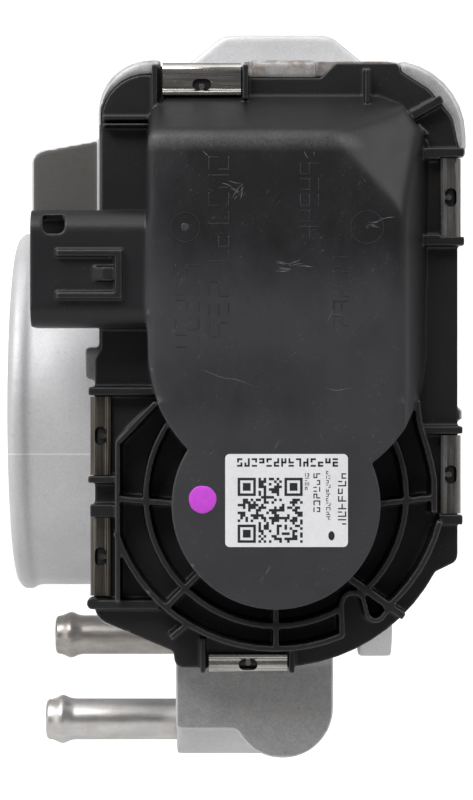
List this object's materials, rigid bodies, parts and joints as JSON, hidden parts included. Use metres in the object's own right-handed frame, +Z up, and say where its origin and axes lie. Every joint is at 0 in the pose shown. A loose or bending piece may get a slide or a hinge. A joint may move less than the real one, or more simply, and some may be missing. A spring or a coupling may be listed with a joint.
{
  "type": "electronic throttle body",
  "caption": "Electronic throttle body: cast housing with round air bore, butterfly, coolant pipes, geared motor drive and a clipped black gear cover with a side connector.",
  "frame": {"origin": "centre of the air bore at the engine flange's face", "axes": "+X along the bore axis towards the engine, -Y towards the gear cover, +Z up towards the motor"},
  "size_m": [0.0849, 0.1105, 0.136],
  "materials": {
    "black_moulding": "moulded",
    "black_rubber": "moulded",
    "brass": "machined",
    "bright_steel": "ground",
    "cast_aluminium": "sand-blasted casting",
    "circuit_board": "laminate",
    "copper": "enamelled wire and strip",
    "cover_plastic": "glass-filled moulding, worn",
    "dark_steel": "phosphated",
    "ferrite": "sintered",
    "label_white": "printed film",
    "pipe_steel": "zinc-plated tube",
    "spring_steel": "oil-tempered strip",
    "white_nylon": "moulded gear nylon"
  },
  "bodies": {
    "housing": {"throttle_housing": "cast_aluminium", "front_bearing_outer": "bright_steel", "front_bearing_balls": "bright_steel", "front_shaft_seal": "black_rubber", "rear_shaft_seal": "black_rubber", "rear_bearing_cup": "bright_steel", "rear_bearing_needles": "bright_steel", "rear_end_plug": "bright_steel", "coolant_pipe_upper": "pipe_steel", "coolant_pipe_lower": "pipe_steel", "coolant_passage_plug": "dark_steel", "idler_pin": "bright_steel", "return_spring": "spring_steel", "closed_stop_screw": "dark_steel", "motor_can": "bright_steel", "motor_end_plate": "bright_steel", "motor_brush_cap": "black_moulding", "motor_magnets": "ferrite", "motor_brushes": "ferrite", "motor_terminals": "copper", "motor_front_bush": "brass", "motor_rear_bush": "brass", "motor_wave_washer": "spring_steel", "motor_screws": "dark_steel", "motor_rear_cap": "cast_aluminium", "motor_cap_screws": "dark_steel", "cover_gasket": "black_rubber", "gear_cover": "cover_plastic", "connector_terminals": "brass", "sensor_board": "circuit_board", "sensor_chips": "black_moulding", "label": "label_white", "cover_clip_top": "spring_steel", "cover_clip_bottom": "spring_steel", "cover_clip_left_upper": "spring_steel", "cover_clip_left_lower": "spring_steel", "cover_clip_right_upper": "spring_steel", "cover_clip_right_lower": "spring_steel"},
    "throttle": {"throttle_shaft": "bright_steel", "throttle_plate": "brass", "plate_screws": "dark_steel", "throttle_gear": "white_nylon", "gear_insert": "dark_steel", "sensor_magnet": "ferrite", "front_bearing_inner": "bright_steel"},
    "idler": {"idler_gear": "white_nylon", "idler_bush": "brass"},
    "armature": {"armature_shaft": "bright_steel", "armature_core": "dark_steel", "armature_windings": "copper", "commutator": "copper", "motor_pinion": "brass"}
  },
  "joints": [
    {"name": "throttle_turn", "type": "hinge", "parent": "housing", "child": "throttle", "pos_m": [-0.0218, 0, 0], "axis": [0, 1, 0], "range_deg": [-7, 78], "stiffness_Nm_per_rad": 0.2, "deforming": ["return_spring"]},
    {"name": "idler_turn", "type": "hinge", "parent": "housing", "child": "idler", "pos_m": [-0.0218, 0, 0.031], "axis": [0, 1, 0], "range_deg": [-340, 40]},
    {"name": "armature_turn", "type": "hinge", "parent": "housing", "child": "armature", "pos_m": [-0.0218, 0, 0.0514], "axis": [0, 1, 0], "range_deg": [-120, 1200]}
  ],
  "couplings": [
    {"joint": "idler_turn", "follows": "throttle_turn", "ratio": -4.1667},
    {"joint": "armature_turn", "follows": "throttle_turn", "ratio": 15.152}
  ]
}
